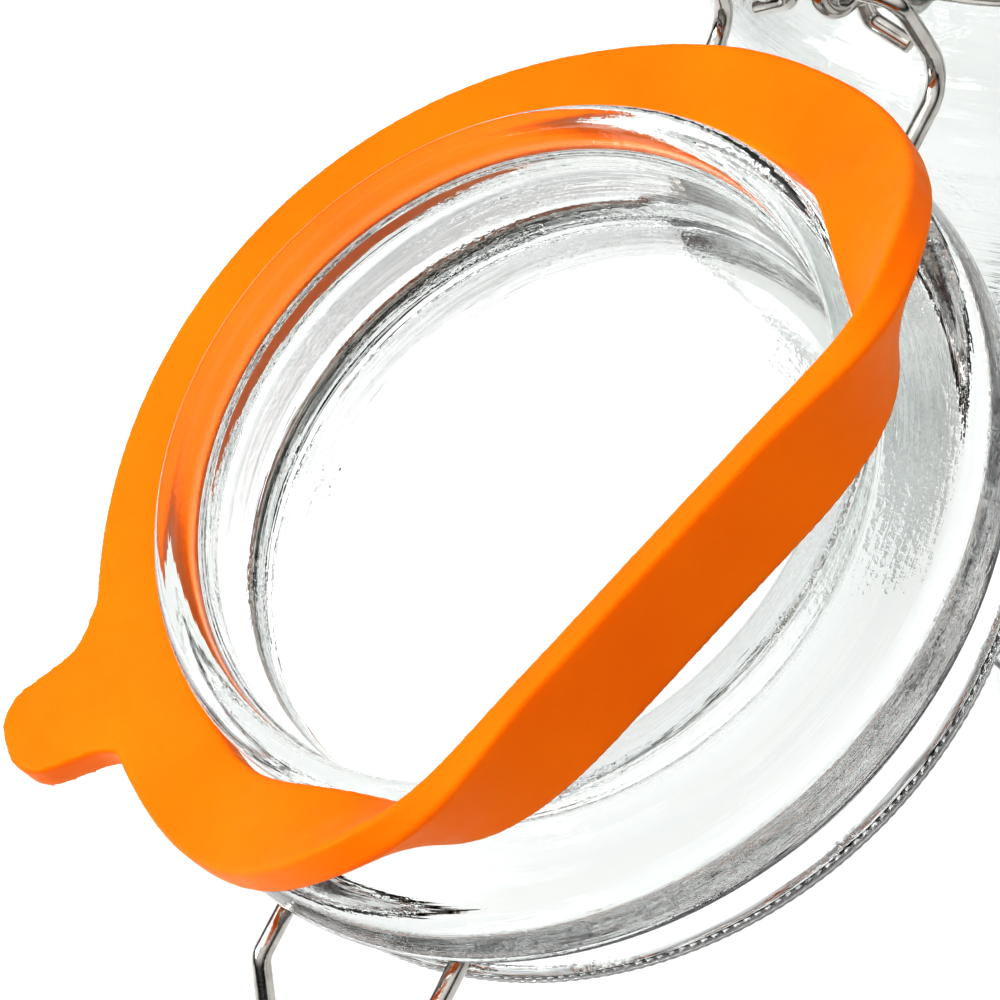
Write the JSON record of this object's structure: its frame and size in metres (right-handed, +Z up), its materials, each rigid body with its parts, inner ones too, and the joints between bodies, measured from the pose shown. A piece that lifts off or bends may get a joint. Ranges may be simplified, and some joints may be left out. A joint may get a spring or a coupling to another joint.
{
  "type": "bail clamp jar",
  "caption": "Clip-top glass storage jar with a hinged glass lid, a wire bail clamp and a half-fitted orange seal with a pull tab.",
  "frame": {"origin": "centre of the jar's flat base, on the surface it stands on", "axes": "+Z up along the jar's axis, +Y toward the lid's hinge at the rear, the latch on the -Y side, +X along the hinge's axis"},
  "size_m": [0.118, 0.2552, 0.1665],
  "materials": {
    "clear_glass": "clear pressed glass with rounded edges",
    "orange_silicone": "smooth bright orange moulded silicone",
    "steel_wire": "bright drawn steel wire"
  },
  "bodies": {
    "jar": {"jar_body": "clear_glass", "neck_ring": "steel_wire"},
    "lid": {"glass_lid": "clear_glass", "lid_ring": "steel_wire", "gasket": "orange_silicone"},
    "lever": {"latch_lever": "steel_wire"},
    "link": {"bail_link": "steel_wire"}
  },
  "joints": [
    {"name": "lid_hinge", "type": "hinge", "parent": "jar", "child": "lid", "pos_m": [0, 0.065, 0.1547], "axis": [1, 0, 0], "range_deg": [0, 194], "deforming": ["gasket"]},
    {"name": "lever_swing", "type": "hinge", "parent": "jar", "child": "lever", "pos_m": [0, -0.064, 0.138], "axis": [-1, 0, 0], "range_deg": [0, 180]},
    {"name": "link_swing", "type": "hinge", "parent": "lever", "child": "link", "pos_m": [0, -0.0625, 0.129], "axis": [-1, 0, 0], "range_deg": [0, 190]}
  ]
}
